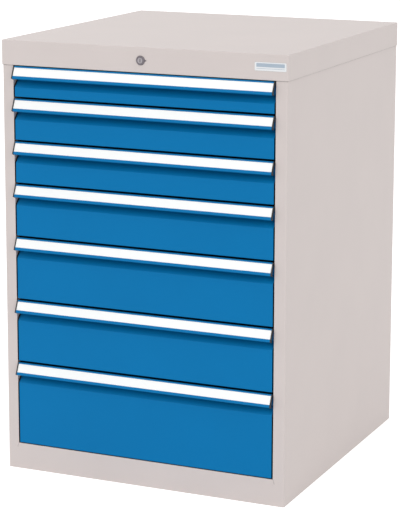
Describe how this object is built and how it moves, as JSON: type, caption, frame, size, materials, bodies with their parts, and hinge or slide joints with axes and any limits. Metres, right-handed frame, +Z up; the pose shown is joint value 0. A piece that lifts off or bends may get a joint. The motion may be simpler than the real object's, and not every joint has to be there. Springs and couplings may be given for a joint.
{
  "type": "drawer cabinet",
  "caption": "Free-standing sheet-steel drawer cabinet with full-width grips, label strips, telescopic slides and central locking from one cylinder lock.",
  "frame": {"origin": "on the floor under the middle of the cabinet, grips included", "axes": "+X to the right and +Y to the back, seen from the front; +Z up"},
  "size_m": [0.705, 0.7488, 1.019],
  "materials": {
    "housing_paint": "light grey powder coat, fine texture, semi-matte",
    "front_paint": "blue powder coat, fine texture, semi-matte",
    "tray_paint": "light grey powder coat",
    "label_white": "white card behind a clear film",
    "zinc_steel": "bright zinc plated sheet",
    "lock_chrome": "chromed lock collar",
    "lock_plug_metal": "nickel plated lock plug"
  },
  "bodies": {
    "housing": {"right_side_wall": "housing_paint", "left_side_wall": "housing_paint", "base_pan": "housing_paint", "top_front_rail": "housing_paint", "top_cover": "housing_paint", "back_panel": "housing_paint", "cabinet_rails": "zinc_steel", "lock_housing": "lock_chrome"},
    "lock": {"lock_plug": "lock_plug_metal", "lock_shaft": "zinc_steel"},
    "bar": {"locking_bar": "zinc_steel"},
    "drawer_1": {"drawer_1_front": "front_paint", "drawer_1_grip": "front_paint", "drawer_1_label_strip": "label_white", "drawer_1_pan": "tray_paint", "drawer_1_side_walls": "tray_paint", "drawer_1_rails": "zinc_steel"},
    "middle_1": {"slide_1_middle_rails": "zinc_steel"},
    "drawer_2": {"drawer_2_front": "front_paint", "drawer_2_grip": "front_paint", "drawer_2_label_strip": "label_white", "drawer_2_pan": "tray_paint", "drawer_2_side_walls": "tray_paint", "drawer_2_rails": "zinc_steel"},
    "middle_2": {"slide_2_middle_rails": "zinc_steel"},
    "drawer_3": {"drawer_3_front": "front_paint", "drawer_3_grip": "front_paint", "drawer_3_label_strip": "label_white", "drawer_3_pan": "tray_paint", "drawer_3_side_walls": "tray_paint", "drawer_3_rails": "zinc_steel"},
    "middle_3": {"slide_3_middle_rails": "zinc_steel"},
    "drawer_4": {"drawer_4_front": "front_paint", "drawer_4_grip": "front_paint", "drawer_4_label_strip": "label_white", "drawer_4_pan": "tray_paint", "drawer_4_side_walls": "tray_paint", "drawer_4_rails": "zinc_steel"},
    "middle_4": {"slide_4_middle_rails": "zinc_steel"},
    "drawer_5": {"drawer_5_front": "front_paint", "drawer_5_grip": "front_paint", "drawer_5_label_strip": "label_white", "drawer_5_pan": "tray_paint", "drawer_5_side_walls": "tray_paint", "drawer_5_rails": "zinc_steel"},
    "middle_5": {"slide_5_middle_rails": "zinc_steel"},
    "drawer_6": {"drawer_6_front": "front_paint", "drawer_6_grip": "front_paint", "drawer_6_label_strip": "label_white", "drawer_6_pan": "tray_paint", "drawer_6_side_walls": "tray_paint", "drawer_6_rails": "zinc_steel"},
    "middle_6": {"slide_6_middle_rails": "zinc_steel"},
    "drawer_7": {"drawer_7_front": "front_paint", "drawer_7_grip": "front_paint", "drawer_7_label_strip": "label_white", "drawer_7_pan": "tray_paint", "drawer_7_side_walls": "tray_paint", "drawer_7_rails": "zinc_steel"},
    "middle_7": {"slide_7_middle_rails": "zinc_steel"}
  },
  "joints": [
    {"name": "bar_lift", "type": "slide", "parent": "housing", "child": "bar", "axis": [0, 0, 1], "range_m": [0, 0.01415]},
    {"name": "lock_turn", "type": "hinge", "parent": "housing", "child": "lock", "pos_m": [0, -0.35985, 0.989], "axis": [0, 1, 0], "range_deg": [0, 90]},
    {"name": "drawer_1_slide", "type": "slide", "parent": "housing", "child": "drawer_1", "axis": [0, -1, 0], "range_m": [0, 0.6]},
    {"name": "middle_1_slide", "type": "slide", "parent": "housing", "child": "middle_1", "axis": [0, -1, 0], "range_m": [0, 0.3]},
    {"name": "drawer_2_slide", "type": "slide", "parent": "housing", "child": "drawer_2", "axis": [0, -1, 0], "range_m": [0, 0.6]},
    {"name": "middle_2_slide", "type": "slide", "parent": "housing", "child": "middle_2", "axis": [0, -1, 0], "range_m": [0, 0.3]},
    {"name": "drawer_3_slide", "type": "slide", "parent": "housing", "child": "drawer_3", "axis": [0, -1, 0], "range_m": [0, 0.6]},
    {"name": "middle_3_slide", "type": "slide", "parent": "housing", "child": "middle_3", "axis": [0, -1, 0], "range_m": [0, 0.3]},
    {"name": "drawer_4_slide", "type": "slide", "parent": "housing", "child": "drawer_4", "axis": [0, -1, 0], "range_m": [0, 0.6]},
    {"name": "middle_4_slide", "type": "slide", "parent": "housing", "child": "middle_4", "axis": [0, -1, 0], "range_m": [0, 0.3]},
    {"name": "drawer_5_slide", "type": "slide", "parent": "housing", "child": "drawer_5", "axis": [0, -1, 0], "range_m": [0, 0.6]},
    {"name": "middle_5_slide", "type": "slide", "parent": "housing", "child": "middle_5", "axis": [0, -1, 0], "range_m": [0, 0.3]},
    {"name": "drawer_6_slide", "type": "slide", "parent": "housing", "child": "drawer_6", "axis": [0, -1, 0], "range_m": [0, 0.6]},
    {"name": "middle_6_slide", "type": "slide", "parent": "housing", "child": "middle_6", "axis": [0, -1, 0], "range_m": [0, 0.3]},
    {"name": "drawer_7_slide", "type": "slide", "parent": "housing", "child": "drawer_7", "axis": [0, -1, 0], "range_m": [0, 0.6]},
    {"name": "middle_7_slide", "type": "slide", "parent": "housing", "child": "middle_7", "axis": [0, -1, 0], "range_m": [0, 0.3]}
  ],
  "couplings": [
    {"joint": "lock_turn", "follows": "bar_lift", "rad_per_m": 111},
    {"joint": "middle_1_slide", "follows": "drawer_1_slide", "ratio": 0.5},
    {"joint": "middle_2_slide", "follows": "drawer_2_slide", "ratio": 0.5},
    {"joint": "middle_3_slide", "follows": "drawer_3_slide", "ratio": 0.5},
    {"joint": "middle_4_slide", "follows": "drawer_4_slide", "ratio": 0.5},
    {"joint": "middle_5_slide", "follows": "drawer_5_slide", "ratio": 0.5},
    {"joint": "middle_6_slide", "follows": "drawer_6_slide", "ratio": 0.5},
    {"joint": "middle_7_slide", "follows": "drawer_7_slide", "ratio": 0.5}
  ]
}
